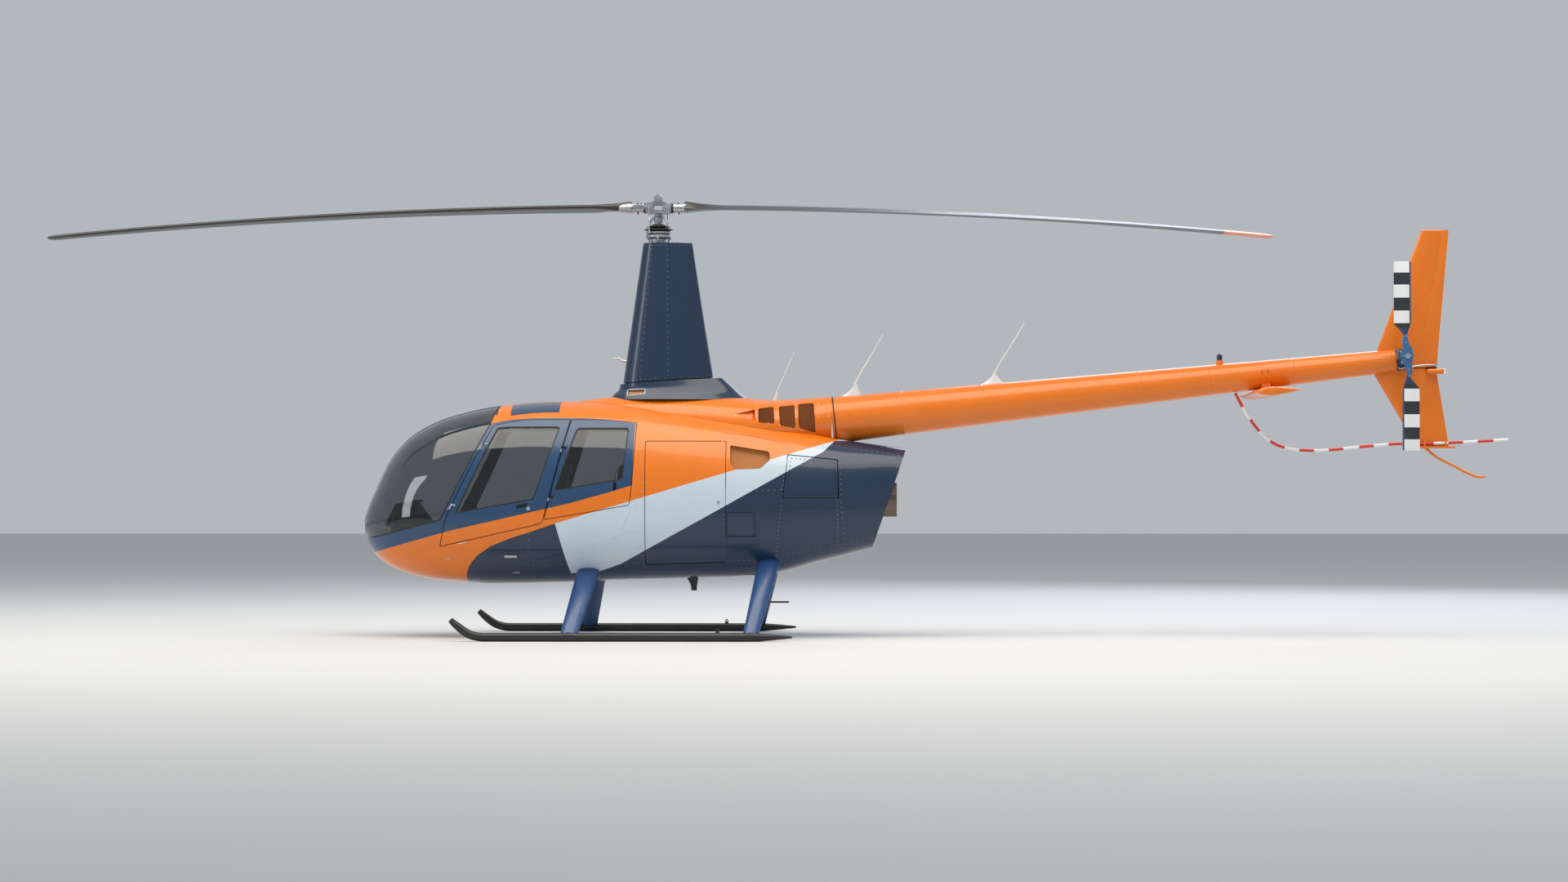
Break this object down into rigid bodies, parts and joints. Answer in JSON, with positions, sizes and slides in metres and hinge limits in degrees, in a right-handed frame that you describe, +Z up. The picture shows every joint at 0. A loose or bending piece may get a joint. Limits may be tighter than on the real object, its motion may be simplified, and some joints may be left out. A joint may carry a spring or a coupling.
{
  "type": "light helicopter",
  "caption": "Light turbine helicopter on skids with a rounded cabin, a teetering main rotor on a tall faired mast, a tapered tail boom, fins and a guarded tail rotor.",
  "frame": {"origin": "on the ground under the middle of the whole outline, skids' undersides at z 0", "axes": "+Z up, nose towards -X, tail towards +X, the helicopter's own left side towards -Y"},
  "size_m": [11.9827, 2.268, 3.622],
  "materials": {
    "painted_skin_orange": "gloss",
    "painted_skin_navy": "gloss",
    "painted_skin_blue": "gloss",
    "painted_skin_pale": "gloss",
    "fairing_orange": "gloss",
    "fairing_navy": "gloss",
    "acrylic": "gloss",
    "seat_leather": "satin",
    "dark_plastic": "matte",
    "steel": "satin",
    "black_skid": "satin",
    "blade_black": "satin",
    "white_aerial": "gloss",
    "guard_red": "gloss",
    "tube_orange": "gloss",
    "alloy": "satin",
    "beacon_blue": "gloss",
    "floor_carpet": "matte"
  },
  "bodies": {
    "airframe": {"aerial_front": "white_aerial", "aerial_middle": "white_aerial", "aerial_rear": "white_aerial", "aft_fuselage": "painted_skin_navy", "beacon": "beacon_blue", "cabin_floor": "floor_carpet", "cabin_roof": "painted_skin_orange", "cyclic_stick": "steel", "engine_block": "alloy", "exhaust_pipe": "steel", "fin_lower": "painted_skin_orange", "fin_upper": "painted_skin_orange", "gear_leg_front_left": "painted_skin_blue", "gear_leg_front_right": "painted_skin_blue", "gear_leg_rear_left": "painted_skin_blue", "gear_leg_rear_right": "painted_skin_blue", "instrument_console": "dark_plastic", "mast_base_fairing": "fairing_navy", "mast_fairing": "fairing_navy", "nose_and_belly_shell": "painted_skin_orange", "seat_front_left": "seat_leather", "seat_front_right": "seat_leather", "seat_rear_bench": "seat_leather", "skid_left": "black_skid", "skid_right": "black_skid", "stabiliser": "painted_skin_orange", "swashplate_lower": "steel", "tail_boom": "painted_skin_orange", "tail_gearbox": "alloy", "tail_rotor_guard": "guard_red", "tail_skid": "tube_orange", "top_cowling": "fairing_orange", "windscreen_centre_strip": "alloy", "windscreen_left": "acrylic", "windscreen_post_left": "painted_skin_blue", "windscreen_post_right": "painted_skin_blue", "windscreen_right": "acrylic"},
    "main_rotor": {"rotor_hub": "steel", "main_blade_front": "blade_black", "main_blade_rear": "blade_black"},
    "tail_rotor": {"tail_rotor_hub": "painted_skin_navy", "tail_blade_upper": "painted_skin_navy", "tail_blade_lower": "painted_skin_navy"},
    "front_door_left": {"door_front_left": "painted_skin_blue", "door_glass_front_left": "acrylic"},
    "front_door_right": {"door_front_right": "painted_skin_blue", "door_glass_front_right": "acrylic"},
    "rear_door_left": {"door_rear_left": "painted_skin_blue", "door_glass_rear_left": "acrylic"},
    "rear_door_right": {"door_rear_right": "painted_skin_blue", "door_glass_rear_right": "acrylic"},
    "baggage_door": {"door_baggage_left": "painted_skin_pale"},
    "cowl_door_left": {"engine_cowl_door_left": "painted_skin_navy"},
    "cowl_door_right": {"engine_cowl_door_right": "painted_skin_navy"},
    "access_door": {"access_door_left": "painted_skin_navy"}
  },
  "joints": [
    {"name": "main_rotor_spin", "type": "hinge", "parent": "airframe", "child": "main_rotor", "pos_m": [-0.972, 0, 3.5], "axis": [0, 0, 1], "continuous": true},
    {"name": "tail_rotor_spin", "type": "hinge", "parent": "airframe", "child": "tail_rotor", "pos_m": [5.113, -0.33, 2.285], "axis": [0, 1, 0], "continuous": true},
    {"name": "front_door_left_hinge", "type": "hinge", "parent": "airframe", "child": "front_door_left", "pos_m": [-2.6545, -0.67, 0.976], "axis": [-0.4479, -0.0355, -0.8934], "range_deg": [0, 80]},
    {"name": "front_door_right_hinge", "type": "hinge", "parent": "airframe", "child": "front_door_right", "pos_m": [-2.6545, 0.67, 0.976], "axis": [0.4479, -0.0355, 0.8934], "range_deg": [0, 80]},
    {"name": "rear_door_left_hinge", "type": "hinge", "parent": "airframe", "child": "rear_door_left", "pos_m": [-1.85, -0.77, 0.985], "axis": [-0.2428, -0.1399, -0.9599], "range_deg": [0, 80]},
    {"name": "rear_door_right_hinge", "type": "hinge", "parent": "airframe", "child": "rear_door_right", "pos_m": [-1.85, 0.77, 0.985], "axis": [0.2428, -0.1399, 0.9599], "range_deg": [0, 80]},
    {"name": "baggage_door_hinge", "type": "hinge", "parent": "airframe", "child": "baggage_door", "pos_m": [-1.044, -0.71094, 0.6], "axis": [0, 0.0666, -0.9978], "range_deg": [0, 95]},
    {"name": "cowl_door_left_hinge", "type": "hinge", "parent": "airframe", "child": "cowl_door_left", "pos_m": [0.068, -0.62728, 1.135], "axis": [0.9712, 0.2382, 0], "range_deg": [0, 95]},
    {"name": "cowl_door_right_hinge", "type": "hinge", "parent": "airframe", "child": "cowl_door_right", "pos_m": [0.068, 0.62728, 1.135], "axis": [-0.9712, 0.2382, 0], "range_deg": [0, 95]},
    {"name": "access_door_hinge", "type": "hinge", "parent": "airframe", "child": "access_door", "pos_m": [-0.386, -0.66048, 0.826], "axis": [0.9927, 0.1208, 0], "range_deg": [0, 100]}
  ]
}
